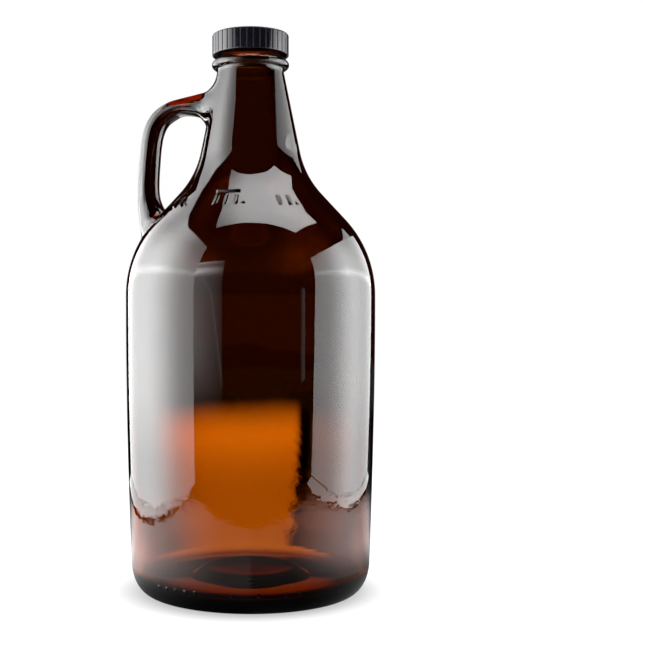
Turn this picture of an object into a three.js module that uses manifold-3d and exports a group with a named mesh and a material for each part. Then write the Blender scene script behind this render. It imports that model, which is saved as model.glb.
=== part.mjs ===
// A 64 fl oz glass growler: a one-piece moulded jug with a ring handle, its ribbed screw cap and the
// cone seal inside the cap. Millimetres, +Z up, origin at the centre of the base. The handle is on -X
// and the marked face looks towards -Y.
import * as THREE from "three";
import { mergeVertices } from "three/addons/utils/BufferGeometryUtils.js";
import Module from "manifold-3d";

const wasm = await Module();
wasm.setup();

const deg = THREE.MathUtils.degToRad;

// ---- Driving dimensions -------------------------------------------------------------------------

// Body of the jug, outside
const BODY_RADIUS = 63.9; // at the top of the barrel, its widest place
const BARREL_TOP = 151; // where the shoulder starts to turn in
const BARREL_DROP = 2.9; // how much narrower the barrel is where the heel starts
const HEEL_HEIGHT = 16;
const REST_RADIUS = 51.3; // outer edge of the ring that the jug stands on
const REST_WIDTH = 3.5;
const PUSH_UP = 4.5; // height of the hollow under the base
const SHOULDER_RADIUS = 56.8; // of the arc, seen from the side
const SHOULDER_SLOPE = deg(42.5); // from the vertical, below the neck
const BLEND_RADIUS = 46; // hollow arc between the shoulder and the neck
const NECK_SLOPE = deg(11.3);
const NECK_TOP = 267.3;
const NECK_TOP_RADIUS = 17;
const BEAD_RADIUS = 19.9;
const BEAD_HEIGHT = 4.4;

// Finish for a 38 mm single-turn cap
const FINISH_RADIUS = 17.27;
const RIM_HEIGHT = 282.1;
const LIP_RADIUS = 1.2;
const BORE_RADIUS = 13.4;
const THREAD_PITCH = 4.233; // six threads to the inch
const THREAD_CREST_RADIUS = 18.35;
const THREAD_LOW = 275.9; // middle of the ridge where its turn starts
const RIDGE_ROOT_HALF = 0.85;
const RIDGE_CREST_HALF = 0.4;
const RIDGE_FADE_TURNS = 0.08;

// Glass thickness
const WALL = 3.9;
const FLOOR_THICKNESS = 6;
const INNER_HEEL_RADIUS = 12;

// Ring handle: points of its middle line, as distance from the jug's axis, height, and half the
// glass's thickness there, towards and away from the axis
const HANDLE_LINE = [
  [9, 249.5, 11],
  [20.5, 249.4, 9],
  [27.5, 250.2, 6.1],
  [36.7, 249.9, 4.5],
  [43, 248.1, 4.7],
  [49.8, 243.3, 4.9],
  [53.7, 234.5, 5],
  [55.5, 219, 5.1],
  [56, 206, 5.3],
  [54.9, 197.5, 6.4],
  [51.5, 187, 8.6],
  [46, 172, 10.5],
];
const HANDLE_HALF_WIDE = 7.8; // across, along Y
const ROOT_FLARE_WIDE = 3.5; // added to that at each end of the ring
const ROOT_FLARE_LENGTH = 0.22; // share of the middle line that each flare takes

// Moulded marks on the shoulder: short bars in groups, and a fill line above the middle group
const MARK_LENGTH = 5.5;
const MARK_WIDTH = 1.3;
const MARK_PROUD = 0.5;
const MARK_RISE = 9; // of the marks' middle, along the slope
const MARK_STEP = deg(7);
const GROUP_STEP = deg(38);
const GROUP_SIZES = [2, 3, 2];
const FILL_LINE_RISE = 15.2;
const FILL_LINE_LENGTH = 12;

// Cap and seal
const CAP_RADIUS = 19.7;
const CAP_BOTTOM = 274.3;
const CAP_TOP = 285;
const CAP_TOP_THICKNESS = 1.5;
const CAP_EDGE_RADIUS = 0.8;
const CAP_BORE_RADIUS = 18.7;
const CAP_THREAD_CREST_RADIUS = 17.7;
const CAP_THREAD_LOW = 275.3;
const RIB_COUNT = 36;
const RIB_GROOVE_DEPTH = 0.35;
const RIB_GROOVE_SHARE = 0.3; // of the rib pitch
const SNAP_BEAD_RADIUS = 18; // holds the seal up in the cap
const SNAP_BEAD_HEIGHT = 281.65;
const SNAP_BEAD_HALF = 0.35;
const GAP = 0.3; // between pieces that touch
const SEAL_RADIUS = 18.35;
const CONE_TOP_RADIUS = 12.9;
const CONE_TIP_RADIUS = 9.6;
const CONE_TIP_HEIGHT = 273.9;
const CONE_WALL = 1;

const JUG_SEGMENTS = 60;
const SEAL_SEGMENTS = 48;
const THREAD_STEPS_PER_TURN = 40;

// ---- Geometry helpers ---------------------------------------------------------------------------

// Points of an arc, [radius, height], from one angle to another, both ends included.
function arc(centreRadius, centreHeight, radius, from, to, steps, radiusUp = radius) {
  return Array.from({ length: steps + 1 }, (_, i) => {
    const angle = from + ((to - from) * i) / steps;
    return [centreRadius + radius * Math.cos(angle), centreHeight + radiusUp * Math.sin(angle)];
  });
}

function toSolid(geometry) {
  const bare = geometry.clone();
  bare.deleteAttribute("normal");
  bare.deleteAttribute("uv");
  const merged = mergeVertices(bare, 1e-4);
  return new wasm.Manifold(
    new wasm.Mesh({
      numProp: 3,
      vertProperties: merged.attributes.position.array,
      triVerts: new Uint32Array(merged.index.array),
    }),
  );
}

function toGeometry(solid) {
  const mesh = solid.getMesh();
  const geometry = new THREE.BufferGeometry();
  geometry.setAttribute("position", new THREE.BufferAttribute(mesh.vertProperties, 3));
  geometry.setIndex(new THREE.BufferAttribute(mesh.triVerts, 1));
  geometry.computeVertexNormals();
  return geometry;
}

// Turns a profile of [radius, height] points about +Z. The profile runs up the outside, from the axis
// to the axis.
function revolve(profile, segments) {
  const points = profile.map(([radius, height]) => new THREE.Vector2(radius, height));
  return new THREE.LatheGeometry(points, segments).rotateX(Math.PI / 2);
}

// A closed solid through rings of points, each ring a list of Vector3 in the same order.
function loft(rings) {
  const count = rings[0].length;
  const positions = rings.flat().flatMap((p) => [p.x, p.y, p.z]);
  const index = [];
  for (let ring = 0; ring + 1 < rings.length; ring++) {
    for (let i = 0; i < count; i++) {
      const a = ring * count + i;
      const b = ring * count + ((i + 1) % count);
      index.push(a, b + count, b);
      index.push(a, a + count, b + count);
    }
  }
  const last = (rings.length - 1) * count;
  for (let i = 1; i + 1 < count; i++) {
    index.push(0, i, i + 1);
    index.push(last, last + i + 1, last + i);
  }
  const geometry = new THREE.BufferGeometry();
  geometry.setAttribute("position", new THREE.Float32BufferAttribute(positions, 3));
  geometry.setIndex(index);
  return geometry;
}

// One turn of a right-handed thread ridge. It rises from rootRadius to crestRadius, which is the
// smaller one on an inside thread, and it fades out at both ends.
function threadRidge(rootRadius, crestRadius, startHeight, startAngle) {
  const inward = Math.sign(rootRadius - crestRadius);
  const buried = rootRadius + inward * 0.25;
  const steps = THREAD_STEPS_PER_TURN;
  const rings = [];
  for (let i = 0; i <= steps; i++) {
    const turn = i / steps;
    const fade = Math.min(1, turn / RIDGE_FADE_TURNS, (1 - turn) / RIDGE_FADE_TURNS);
    const crest = THREE.MathUtils.lerp(rootRadius + inward * 0.1, crestRadius, fade);
    const angle = startAngle + turn * 2 * Math.PI;
    const height = startHeight + turn * THREAD_PITCH;
    const corner = (radius, offset) =>
      new THREE.Vector3(radius * Math.cos(angle), radius * Math.sin(angle), height + offset);
    const section = [
      corner(buried, -RIDGE_ROOT_HALF),
      corner(crest, -RIDGE_CREST_HALF),
      corner(crest, RIDGE_CREST_HALF),
      corner(buried, RIDGE_ROOT_HALF),
    ];
    rings.push(inward < 0 ? section.reverse() : section);
  }
  return loft(rings.reverse());
}

// ---- Jug ----------------------------------------------------------------------------------------

// The straight slope between the two arcs of the shoulder, for a skin this far inside the outside.
function shoulderSlope(inset) {
  const radius = SHOULDER_RADIUS - inset;
  const start = [
    BODY_RADIUS - SHOULDER_RADIUS + radius * Math.cos(SHOULDER_SLOPE),
    BARREL_TOP + radius * Math.sin(SHOULDER_SLOPE),
  ];
  const blend = BLEND_RADIUS + inset;
  const afterBlend = [
    start[0] + blend * (Math.cos(SHOULDER_SLOPE) - Math.cos(NECK_SLOPE)),
    start[1] + blend * (Math.sin(SHOULDER_SLOPE) - Math.sin(NECK_SLOPE)),
  ];
  const neckRadius = NECK_TOP_RADIUS - inset / Math.cos(NECK_SLOPE);
  const excess = afterBlend[0] - neckRadius - (NECK_TOP - afterBlend[1]) * Math.tan(NECK_SLOPE);
  const length =
    excess / (Math.sin(SHOULDER_SLOPE) - Math.cos(SHOULDER_SLOPE) * Math.tan(NECK_SLOPE));
  const end = [
    start[0] - length * Math.sin(SHOULDER_SLOPE),
    start[1] + length * Math.cos(SHOULDER_SLOPE),
  ];
  return { start, end, blend };
}

// From the top of the barrel to the start of the neck's cone.
function shoulderProfile(inset) {
  const { end, blend } = shoulderSlope(inset);
  const blendCentre = [
    end[0] + blend * Math.cos(SHOULDER_SLOPE),
    end[1] + blend * Math.sin(SHOULDER_SLOPE),
  ];
  return [
    ...arc(BODY_RADIUS - SHOULDER_RADIUS, BARREL_TOP, SHOULDER_RADIUS - inset, 0, SHOULDER_SLOPE, 6),
    ...arc(...blendCentre, blend, Math.PI + SHOULDER_SLOPE, Math.PI + NECK_SLOPE, 5),
  ];
}

// Radius of the barrel's outside at a height: a very flat arc, upright at its top.
function barrelRadius(height) {
  const share = (BARREL_TOP - height) / (BARREL_TOP - HEEL_HEIGHT);
  return BODY_RADIUS - BARREL_DROP * share * share;
}

function jugOutside() {
  const heelWidth = barrelRadius(HEEL_HEIGHT) - REST_RADIUS;
  const barrel = [0.25, 0.5, 0.75].map((share) => {
    const height = THREE.MathUtils.lerp(HEEL_HEIGHT, BARREL_TOP, share);
    return [barrelRadius(height), height];
  });
  const beadMiddle = NECK_TOP + BEAD_HEIGHT / 2;
  const beadDepth = BEAD_RADIUS - FINISH_RADIUS;
  return [
    [0, PUSH_UP],
    [24, PUSH_UP * 0.8],
    [40, PUSH_UP * 0.36],
    [REST_RADIUS - REST_WIDTH, 0],
    ...arc(REST_RADIUS, HEEL_HEIGHT, heelWidth, -Math.PI / 2, 0, 6, HEEL_HEIGHT),
    ...barrel,
    ...shoulderProfile(0),
    [NECK_TOP_RADIUS, NECK_TOP],
    ...arc(FINISH_RADIUS, beadMiddle, beadDepth, deg(-70), deg(70), 5, BEAD_HEIGHT / 2),
    [FINISH_RADIUS, NECK_TOP + BEAD_HEIGHT + 0.4],
    ...arc(FINISH_RADIUS - LIP_RADIUS, RIM_HEIGHT - LIP_RADIUS, LIP_RADIUS, 0, Math.PI / 2, 3),
    [0, RIM_HEIGHT],
  ];
}

function jugCavity() {
  const floor = PUSH_UP + FLOOR_THICKNESS;
  const wallRadius = barrelRadius(HEEL_HEIGHT) - WALL;
  const heelMiddle = [wallRadius - INNER_HEEL_RADIUS, floor - 2 + INNER_HEEL_RADIUS];
  const above = RIM_HEIGHT + 5;
  return [
    [0, floor],
    ...arc(...heelMiddle, INNER_HEEL_RADIUS, -Math.PI / 2, 0, 5),
    [barrelRadius(BARREL_TOP / 2) - WALL, BARREL_TOP / 2],
    ...shoulderProfile(WALL),
    [BORE_RADIUS, NECK_TOP - 1],
    [BORE_RADIUS, RIM_HEIGHT - 1],
    [BORE_RADIUS + 0.3, RIM_HEIGHT - 0.3],
    [BORE_RADIUS + 1.3, RIM_HEIGHT + 0.3],
    [BORE_RADIUS + 1.3, above],
    [0, above],
  ];
}

// The ring handle, swept along its middle line. Both ends run inside the glass body.
function handle() {
  const line = new THREE.CatmullRomCurve3(
    HANDLE_LINE.map(([radius, height]) => new THREE.Vector3(-radius, 0, height)),
  );
  const halfThick = new THREE.SplineCurve(
    HANDLE_LINE.map((point, i) => new THREE.Vector2(i / (HANDLE_LINE.length - 1), point[2])),
  );
  const across = new THREE.Vector3(0, 1, 0);
  const sections = 28;
  const corners = 20;
  const rings = [];
  for (let i = 0; i <= sections; i++) {
    const share = i / sections;
    const middle = line.getPoint(share);
    const outward = new THREE.Vector3().crossVectors(line.getTangent(share), across);
    const nearEnd = Math.max(0, 1 - Math.min(share, 1 - share) / ROOT_FLARE_LENGTH);
    const thick = halfThick.getPoint(share).y;
    const wide = HANDLE_HALF_WIDE + ROOT_FLARE_WIDE * nearEnd * nearEnd;
    const ring = [];
    for (let corner = 0; corner < corners; corner++) {
      const angle = (2 * Math.PI * corner) / corners;
      ring.push(
        middle
          .clone()
          .addScaledVector(outward, thick * Math.cos(angle))
          .addScaledVector(across, wide * Math.sin(angle)),
      );
    }
    rings.push(ring);
  }
  return loft(rings);
}

// A raised bar on the shoulder's slope: rise is along the slope, angle is round the jug from its face.
function slopeBar(rise, angle, length, width) {
  const { start } = shoulderSlope(0);
  const radius = start[0] - rise * Math.sin(SHOULDER_SLOPE);
  const height = start[1] + rise * Math.cos(SHOULDER_SLOPE);
  return new THREE.BoxGeometry(width, 2 * MARK_PROUD, length)
    .rotateX(-SHOULDER_SLOPE)
    .translate(0, -radius, height)
    .rotateZ(angle);
}

function shoulderMarks() {
  const bars = [];
  GROUP_SIZES.forEach((size, group) => {
    const middle = (group - (GROUP_SIZES.length - 1) / 2) * GROUP_STEP;
    for (let i = 0; i < size; i++) {
      const angle = middle + (i - (size - 1) / 2) * MARK_STEP;
      bars.push(slopeBar(MARK_RISE, angle, MARK_LENGTH, MARK_WIDTH));
    }
  });
  bars.push(slopeBar(FILL_LINE_RISE, 0, MARK_WIDTH, FILL_LINE_LENGTH));
  return bars;
}

function glassJug() {
  const thread = threadRidge(FINISH_RADIUS, THREAD_CREST_RADIUS, THREAD_LOW, 0);
  const added = [handle(), thread, ...shoulderMarks()];
  const outside = added.reduce(
    (solid, geometry) => solid.add(toSolid(geometry)),
    toSolid(revolve(jugOutside(), JUG_SEGMENTS)),
  );
  return toGeometry(outside.subtract(toSolid(revolve(jugCavity(), JUG_SEGMENTS))));
}

// ---- Cap ----------------------------------------------------------------------------------------

function capProfile() {
  const ceiling = CAP_TOP - CAP_TOP_THICKNESS;
  const edge = CAP_EDGE_RADIUS;
  return [
    [0, ceiling],
    [CAP_BORE_RADIUS, ceiling],
    [CAP_BORE_RADIUS, SNAP_BEAD_HEIGHT + SNAP_BEAD_HALF],
    [SNAP_BEAD_RADIUS, SNAP_BEAD_HEIGHT],
    [CAP_BORE_RADIUS, SNAP_BEAD_HEIGHT - SNAP_BEAD_HALF],
    [CAP_BORE_RADIUS, CAP_BOTTOM + 0.4],
    [CAP_BORE_RADIUS + 0.3, CAP_BOTTOM],
    [CAP_RADIUS, CAP_BOTTOM],
    ...arc(CAP_RADIUS - edge, CAP_TOP - edge, edge, 0, Math.PI / 2, 3),
    [0, CAP_TOP],
  ];
}

// Turns the profile into a ribbed skirt: each rib has three upright edges, two at its sides and one in
// the groove beside it.
function ribbed(profile) {
  const segments = RIB_COUNT * 3;
  const geometry = revolve(profile, segments);
  const position = geometry.attributes.position;
  const pitch = (2 * Math.PI) / RIB_COUNT;
  const point = new THREE.Vector2();
  for (let i = 0; i < position.count; i++) {
    point.set(position.getX(i), position.getY(i));
    const radius = point.length();
    const step = Math.round((point.angle() / (2 * Math.PI)) * segments);
    const place = step % 3;
    const rib = (step - place) / 3;
    const shift = [0, RIB_GROOVE_SHARE / 2, 1 - RIB_GROOVE_SHARE / 2][place];
    const onSkirt = radius > CAP_RADIUS - CAP_EDGE_RADIUS / 2;
    const turned = (rib + shift) * pitch;
    const newRadius = onSkirt && place === 0 ? radius - RIB_GROOVE_DEPTH : radius;
    position.setXY(i, newRadius * Math.cos(turned), newRadius * Math.sin(turned));
  }
  return geometry;
}

function capShell() {
  // The cap's ridge runs half a pitch below the jug's, so the two slide past each other as it turns.
  const rise = CAP_THREAD_LOW - (THREAD_LOW - THREAD_PITCH / 2);
  const startAngle = (rise / THREAD_PITCH) * 2 * Math.PI;
  const thread = threadRidge(
    CAP_BORE_RADIUS,
    CAP_THREAD_CREST_RADIUS,
    CAP_THREAD_LOW,
    startAngle,
  );
  return toGeometry(toSolid(ribbed(capProfile())).add(toSolid(thread)));
}

// The seal: a flat disc on the rim, with a hollow cone that wedges into the mouth.
function coneSeal() {
  const top = CAP_TOP - CAP_TOP_THICKNESS - GAP;
  const underside = RIM_HEIGHT + GAP;
  return revolve(
    [
      [0, underside - 0.2],
      [CONE_TOP_RADIUS - CONE_WALL - 0.6, underside - 0.2],
      [CONE_TIP_RADIUS - CONE_WALL, CONE_TIP_HEIGHT],
      [CONE_TIP_RADIUS, CONE_TIP_HEIGHT],
      [CONE_TOP_RADIUS, underside - 1.2],
      [CONE_TOP_RADIUS + 0.4, underside],
      [SEAL_RADIUS, underside],
      [SEAL_RADIUS, top],
      [0, top],
    ],
    SEAL_SEGMENTS,
  );
}

// ---- Assembly -----------------------------------------------------------------------------------

function mesh(name, geometry, colour, roughness, metalness) {
  const material = new THREE.MeshStandardMaterial({ color: colour, roughness, metalness });
  const made = new THREE.Mesh(geometry, material);
  made.name = name;
  return made;
}

const growler = new THREE.Group();
growler.name = "growler";
growler.add(mesh("glass_jug", glassJug(), 0x6b3209, 0.06, 0));

const closure = new THREE.Group();
closure.name = "closure";
closure.add(mesh("cap_shell", capShell(), 0x141416, 0.35, 0));
closure.add(mesh("cone_seal", coneSeal(), 0xe9e7e0, 0.5, 0));
growler.add(closure);

export default growler;
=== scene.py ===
"""A 64 fl oz amber glass growler with a ring handle, its ribbed screw cap and the cap's cone seal.

Lengths in the shape code are millimetres and are scaled to metres when a mesh is made. The jug's
axis is +Z, its base stands on z = 0, the handle is on -X and the marked face looks towards -Y.
"""

import math

import bmesh
import bpy
import numpy as np
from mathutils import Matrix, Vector


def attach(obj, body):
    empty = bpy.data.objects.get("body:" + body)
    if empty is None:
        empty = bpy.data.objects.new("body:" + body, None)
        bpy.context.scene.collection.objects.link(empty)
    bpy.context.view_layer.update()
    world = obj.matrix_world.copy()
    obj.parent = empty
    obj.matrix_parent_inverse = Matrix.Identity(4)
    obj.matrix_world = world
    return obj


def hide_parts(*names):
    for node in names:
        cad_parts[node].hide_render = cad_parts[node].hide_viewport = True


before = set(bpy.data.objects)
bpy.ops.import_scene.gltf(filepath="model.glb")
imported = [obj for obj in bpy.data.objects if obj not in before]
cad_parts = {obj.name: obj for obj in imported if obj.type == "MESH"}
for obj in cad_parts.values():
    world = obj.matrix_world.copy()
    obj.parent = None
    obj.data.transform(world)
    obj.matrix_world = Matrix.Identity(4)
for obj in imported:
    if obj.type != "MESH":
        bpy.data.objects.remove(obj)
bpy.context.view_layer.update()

MM = 0.001
rad = math.radians

# ---- Dimensions, in millimetres ------------------------------------------------------------------

# Outside of the body, from the flat ring it stands on up to the neck
BODY_RADIUS = 63.9
BARREL_TOP = 151.0
BARREL_DROP = 2.9  # how much slimmer the barrel is at the heel than at its top
HEEL_HEIGHT = 16.0
REST_RADIUS = 51.3
REST_WIDTH = 3.5
PUSH_UP = 4.5
PUSH_UP_POWER = 2.6  # higher is flatter in the middle
SHOULDER_RADIUS = 56.8
SHOULDER_SLOPE = rad(42.5)
BLEND_RADIUS = 46.0
NECK_SLOPE = rad(11.3)
NECK_TOP = 267.3
NECK_TOP_RADIUS = 17.0

# Bead under the cap, and the finish for a 38 mm cap
BEAD_RADIUS = 19.9
BEAD_HEIGHT = 4.4
BEAD_TOP_STEP = 1.0  # the ledge between the bead's top and the finish
FINISH_RADIUS = 17.27
FINISH_FOOT = 274.5  # where the ledge's slope meets the finish
RIM_HEIGHT = 282.1
LIP_RADIUS = 1.2
THREAD_PITCH = 4.233
THREAD_CREST_RADIUS = 18.35
THREAD_LOW = 275.9

# Inside
WALL = 3.9
BORE_RADIUS = 13.4
INNER_LIP_RADIUS = 1.0
INNER_HEEL_RADIUS = 5.0
INNER_FLOOR_HEIGHT = 8.0
INNER_RISE = 4.5
INNER_RISE_RADIUS = 27.0
INNER_RISE_HALF_WIDTH = 4.0  # of the ring over which the floor rises

# Ring handle: points of its middle line as distance from the axis, height, and half the thickness.
HANDLE_LINE = [
    (9, 249.5, 11),
    (20.5, 249.4, 9),
    (27.5, 250.2, 6.1),
    (36.7, 249.9, 4.5),
    (43, 248.1, 4.7),
    (49.8, 243.3, 4.9),
    (53.7, 234.5, 5),
    (55.5, 219, 5.1),
    (56, 206, 5.3),
    (54.9, 197.5, 6.4),
    (51.5, 187, 8.6),
    (46, 172, 10.5),
]
HANDLE_HALF_WIDE = 7.8
ROOT_FLARE_WIDE = 3.5
ROOT_FLARE_LENGTH = 0.22  # as a share of the handle's length
ROOT_INSET = 2.0  # how deep the ends lie in the glass wall
FILLET = 6.0
WELD_DISTANCE = 0.12
# The roots lie in this box, which starts ROOT_ZONE_IN from the axis on the handle's side.
ROOT_ZONE_IN = 12.0
ROOT_ZONE_HALF_WIDE = 26.0
ROOT_ZONE_LOW = 155.0
ROOT_ZONE_HIGH = 268.0

# Raised marks on the shoulder. A rise is measured up the slope from where its cone starts.
MARK_LENGTH = 6.2
MARK_WIDTH = 1.4
MARK_PROUD = 1.1
MARK_CORNER = 0.5
MARK_EDGE = 0.9  # how far out the soft edge ends
MARK_RISE = 9.0
MARK_STEP = rad(7)
GROUP_STEP = rad(38)
GROUP_SIZES = (2, 3, 2)
DOT_SIZE = 1.2
DOT_RISE = 6.9
DOT_SHARE = 0.8  # of the bars' height
FILL_LINE_RISE = 15.2
FILL_LINE_LENGTH = 12.0
MARKS_END = 210.0

# Raised dots on the heel, a row of five and four further apart
HEEL_DOT_HEIGHT = 10.4
HEEL_DOT_PROUD = 0.6
HEEL_DOT_RADIUS = 1.0
HEEL_DOT_ROW = [rad(-30.6 + 5.3 * i) for i in range(5)]
HEEL_DOT_OTHERS = [rad(7.5), rad(19.5), rad(31.5), rad(38)]

# Screw cap
CAP_RADIUS = 19.7
CAP_BOTTOM = 274.3
CAP_TOP = 285.0
CAP_TOP_THICKNESS = 1.5
CAP_BORE_RADIUS = 18.7
CAP_THREAD_CREST_RADIUS = 17.7
CAP_THREAD_LOW = 275.3
CAP_TOP_EDGE = 0.85
CAP_FOOT_EDGE = 0.25
CAP_RING_RADIUS = 15.6
CAP_RING_DEPTH = 0.12
RIB_COUNT = 36
RIB_GROOVE_DEPTH = 0.3
# Half widths of a groove at its floor and at its top, as shares of the way to the next groove
RIB_GROOVE_FLOOR = 0.028
RIB_GROOVE_TOP = 0.075
SNAP_BEAD_HEIGHT = 281.65
SNAP_BEAD_PROUD = 0.7

# Cone seal
SEAL_GAP = 0.3
SEAL_RADIUS = 18.35
SEAL_RING_STEP = 1.1
SEAL_RING_DEPTH = 0.06
CONE_TOP_RADIUS = 12.9
CONE_TIP_RADIUS = 9.6
CONE_TIP_HEIGHT = 273.9
CONE_WALL = 1.0


# ---- Curves and meshes ---------------------------------------------------------------------------


def arc(centre, radius, start, stop, steps, radius_up=None):
    """Points of an arc from one angle to another, both ends included."""
    angles = np.linspace(start, stop, steps + 1)
    up = radius if radius_up is None else radius_up
    return [(centre[0] + radius * math.cos(a), centre[1] + up * math.sin(a)) for a in angles]


def line(start, stop, steps):
    """Points of a straight line, without its first point."""
    shares = np.linspace(0, 1, steps + 1)[1:]
    return [
        (start[0] + (stop[0] - start[0]) * s, start[1] + (stop[1] - start[1]) * s) for s in shares
    ]


def clean(points):
    """The same outline without points that fall on the one before."""
    kept = [points[0]]
    for point in points[1:]:
        if math.dist(point, kept[-1]) > 0.02:
            kept.append(point)
    return np.array(kept)


def new_mesh(name, vertices, faces):
    mesh = bpy.data.meshes.new(name)
    mesh.from_pydata([tuple(v) for v in np.asarray(vertices) * MM], [], faces)
    mesh.validate()
    mesh.shade_smooth()
    return mesh


def new_object(name, mesh):
    obj = bpy.data.objects.new(name, mesh)
    bpy.context.scene.collection.objects.link(obj)
    return obj


def turned(name, outline, angles, displace=None):
    """A closed mesh made by turning an outline whose two ends lie on the axis.

    displace(angle, radius, height) gives how far the surface stands out along the outline's normal.
    """
    outline = clean(outline)
    along = np.gradient(outline, axis=0)
    along /= np.linalg.norm(along, axis=1)[:, None]
    normal = np.stack([along[:, 1], -along[:, 0]], 1)
    rings = slice(1, len(outline) - 1)
    radius, height = outline[rings, 0][:, None], outline[rings, 1][:, None]
    angle = angles[None, :]
    out = displace(angle, radius, height) if displace else 0 * radius * angle
    radius = radius + out * normal[rings, 0][:, None]
    height = height + out * normal[rings, 1][:, None] + 0 * angle
    grid = np.stack([radius * np.sin(angle), -radius * np.cos(angle), height], -1)
    rows, columns = grid.shape[:2]
    vertices = np.concatenate(
        [grid.reshape(-1, 3), [[0, 0, outline[0, 1]], [0, 0, outline[-1, 1]]]]
    )
    column = np.arange(columns)
    after = (column + 1) % columns
    faces = []
    for row in range(rows - 1):
        low, high = row * columns, (row + 1) * columns
        faces += np.stack([low + column, low + after, high + after, high + column], 1).tolist()
    first, last = rows * columns, rows * columns + 1
    top = (rows - 1) * columns
    faces += [[first, after[i], column[i]] for i in range(columns)]
    faces += [[last, top + column[i], top + after[i]] for i in range(columns)]
    return new_mesh(name, vertices, faces)


def smooth_step(value, low, high):
    """0 up to low, 1 from high on, with a soft start and end between them."""
    share = np.clip((value - low) / (high - low), 0, 1)
    return share * share * (3 - 2 * share)


def thread_bump(angle, height, low, root, crest, start=math.pi / 2):
    """How proud a one-turn right-handed thread stands at each place."""
    turn = np.mod((angle - start) / (2 * math.pi), 1)
    depth = abs(crest - root)
    fade = smooth_step(turn, 0, 0.08) * smooth_step(1 - turn, 0, 0.08)
    away = np.abs(height - (low + turn * THREAD_PITCH))
    return depth * fade * (1 - smooth_step(away, 0.3, 0.95))


# ---- Jug -----------------------------------------------------------------------------------------


def barrel_radius(height):
    share = (BARREL_TOP - height) / (BARREL_TOP - HEEL_HEIGHT)
    return BODY_RADIUS - BARREL_DROP * share * share


def shoulder(inset, fine=True):
    """The outline from the top of the barrel to the foot of the neck's cone, this far inside."""
    radius = SHOULDER_RADIUS - inset
    blend = BLEND_RADIUS + inset
    sin, cos = math.sin(SHOULDER_SLOPE), math.cos(SHOULDER_SLOPE)
    start = (BODY_RADIUS - SHOULDER_RADIUS + radius * cos, BARREL_TOP + radius * sin)
    blend_end = (
        start[0] + blend * (cos - math.cos(NECK_SLOPE)),
        start[1] + blend * (sin - math.sin(NECK_SLOPE)),
    )
    neck_radius = NECK_TOP_RADIUS - inset / math.cos(NECK_SLOPE)
    excess = blend_end[0] - neck_radius - (NECK_TOP - blend_end[1]) * math.tan(NECK_SLOPE)
    length = excess / (sin - cos * math.tan(NECK_SLOPE))
    end = (start[0] - length * sin, start[1] + length * cos)
    centre = (end[0] + blend * cos, end[1] + blend * sin)
    barrel_centre = (BODY_RADIUS - SHOULDER_RADIUS, BARREL_TOP)
    return (
        arc(barrel_centre, radius, 0, SHOULDER_SLOPE, 22 if fine else 12)
        + line(start, end, 84 if fine else 8)
        + arc(centre, blend, math.pi + SHOULDER_SLOPE, math.pi + NECK_SLOPE, 18)[1:]
    ), start


def jug_outside():
    """From the middle of the push-up, round the heel and up to the rim."""
    heel_width = barrel_radius(HEEL_HEIGHT) - REST_RADIUS
    bead_middle = (FINISH_RADIUS, NECK_TOP + BEAD_HEIGHT / 2)
    heights = np.linspace(HEEL_HEIGHT, BARREL_TOP, 60)[1:-1]
    neck_end = (NECK_TOP_RADIUS, NECK_TOP - 0.6)
    bead_end = (FINISH_RADIUS + BEAD_TOP_STEP, NECK_TOP + BEAD_HEIGHT)
    rest_edge = REST_RADIUS - REST_WIDTH
    radii = np.linspace(0, rest_edge - 0.8, 22)
    push_up = [(r, PUSH_UP * (1 - (r / rest_edge) ** PUSH_UP_POWER)) for r in radii]
    bead = arc(bead_middle, BEAD_RADIUS - FINISH_RADIUS, rad(-80), rad(62), 16, BEAD_HEIGHT / 2)
    lip = (FINISH_RADIUS - LIP_RADIUS, RIM_HEIGHT - LIP_RADIUS)
    shoulder_points, _ = shoulder(0)
    outline = push_up + [(rest_edge - 0.2, 0.12), (rest_edge + 0.7, 0), (REST_RADIUS - 0.6, 0)]
    outline += arc((REST_RADIUS, HEEL_HEIGHT), heel_width, -math.pi / 2, 0, 44, HEEL_HEIGHT)
    outline += [(barrel_radius(h), h) for h in heights]
    outline += shoulder_points
    outline += line(shoulder_points[-1], neck_end, 20)
    outline += bead
    outline += line(bead_end, (FINISH_RADIUS, FINISH_FOOT), 6)
    outline += line((FINISH_RADIUS, FINISH_FOOT + 0.2), (FINISH_RADIUS, lip[1] - 0.3), 34)
    outline += arc(lip, LIP_RADIUS, 0, math.pi / 2, 8)
    return outline


def jug_inside():
    """From the rim down the bore to the middle of the floor."""
    wall_radius = barrel_radius(HEEL_HEIGHT) - WALL
    heel = (wall_radius - INNER_HEEL_RADIUS, INNER_FLOOR_HEIGHT + INNER_HEEL_RADIUS)
    lip_middle = (BORE_RADIUS + INNER_LIP_RADIUS, RIM_HEIGHT - INNER_LIP_RADIUS)
    lip = arc(lip_middle, INNER_LIP_RADIUS, math.pi / 2, math.pi, 6)
    shoulder_points, _ = shoulder(WALL, fine=False)
    heights = np.linspace(heel[1], BARREL_TOP, 30)[1:-1]
    upward = []
    for radius in np.linspace(0, heel[0] - 1, 44):
        beyond = radius - INNER_RISE_RADIUS
        step = 1 - smooth_step(beyond, -INNER_RISE_HALF_WIDTH, INNER_RISE_HALF_WIDTH)
        upward.append((radius, INNER_FLOOR_HEIGHT + INNER_RISE * step))
    upward += arc(heel, INNER_HEEL_RADIUS, -math.pi / 2, 0, 16)
    upward += [(min(barrel_radius(h), BODY_RADIUS) - WALL, h) for h in heights]
    upward += shoulder_points
    upward += line(shoulder_points[-1], (BORE_RADIUS, NECK_TOP - 1), 12)
    upward += line((BORE_RADIUS, NECK_TOP - 1), (BORE_RADIUS, RIM_HEIGHT - 1.2), 4)
    return lip + upward[::-1]


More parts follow.
